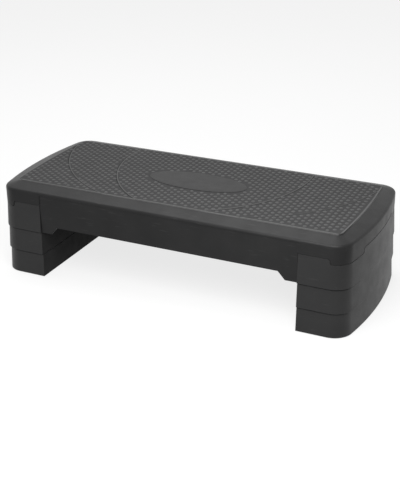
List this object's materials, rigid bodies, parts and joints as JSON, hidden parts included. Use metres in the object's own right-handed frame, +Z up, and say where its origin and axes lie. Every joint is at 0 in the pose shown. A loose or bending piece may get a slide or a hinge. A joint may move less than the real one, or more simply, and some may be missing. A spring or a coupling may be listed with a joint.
{
  "type": "aerobic step platform",
  "caption": "Low aerobic step with a studded moulded deck on hollow end legs, standing on loose stacking risers that key together to set its height.",
  "frame": {"origin": "on the floor, under the middle of the deck, with both pairs of risers in place", "axes": "+X along the deck, +Y across it towards its back, +Z up"},
  "size_m": [0.788, 0.3342, 0.2],
  "materials": {
    "deck_plastic": "fine moulded grain",
    "block_plastic": "fine moulded grain",
    "foot_rubber": "matte",
    "screw_steel": "zinc plated"
  },
  "bodies": {
    "low_risers": {"riser_low_left": "block_plastic", "foot_low_left_front_inner": "foot_rubber", "foot_low_left_back_inner": "foot_rubber", "foot_low_left_front_outer": "foot_rubber", "foot_low_left_back_outer": "foot_rubber", "riser_low_right": "block_plastic", "foot_low_right_front_inner": "foot_rubber", "foot_low_right_back_inner": "foot_rubber", "foot_low_right_front_outer": "foot_rubber", "foot_low_right_back_outer": "foot_rubber"},
    "mid_risers": {"riser_mid_left": "block_plastic", "foot_mid_left_front_inner": "foot_rubber", "foot_mid_left_back_inner": "foot_rubber", "foot_mid_left_front_outer": "foot_rubber", "foot_mid_left_back_outer": "foot_rubber", "riser_mid_right": "block_plastic", "foot_mid_right_front_inner": "foot_rubber", "foot_mid_right_back_inner": "foot_rubber", "foot_mid_right_front_outer": "foot_rubber", "foot_mid_right_back_outer": "foot_rubber"},
    "platform": {"deck": "deck_plastic", "end_leg_left": "block_plastic", "end_leg_right": "block_plastic", "leg_screws_left": "screw_steel", "leg_screws_right": "screw_steel", "foot_leg_left_front_inner": "foot_rubber", "foot_leg_left_back_inner": "foot_rubber", "foot_leg_left_front_outer": "foot_rubber", "foot_leg_left_back_outer": "foot_rubber", "foot_leg_right_front_inner": "foot_rubber", "foot_leg_right_back_inner": "foot_rubber", "foot_leg_right_front_outer": "foot_rubber", "foot_leg_right_back_outer": "foot_rubber"}
  },
  "joints": [
    {"name": "mid_lift", "type": "slide", "parent": "low_risers", "child": "mid_risers", "axis": [0, 0, 1], "range_m": [0, 0.06]},
    {"name": "platform_lift", "type": "slide", "parent": "mid_risers", "child": "platform", "axis": [0, 0, 1], "range_m": [0, 0.06]}
  ]
}
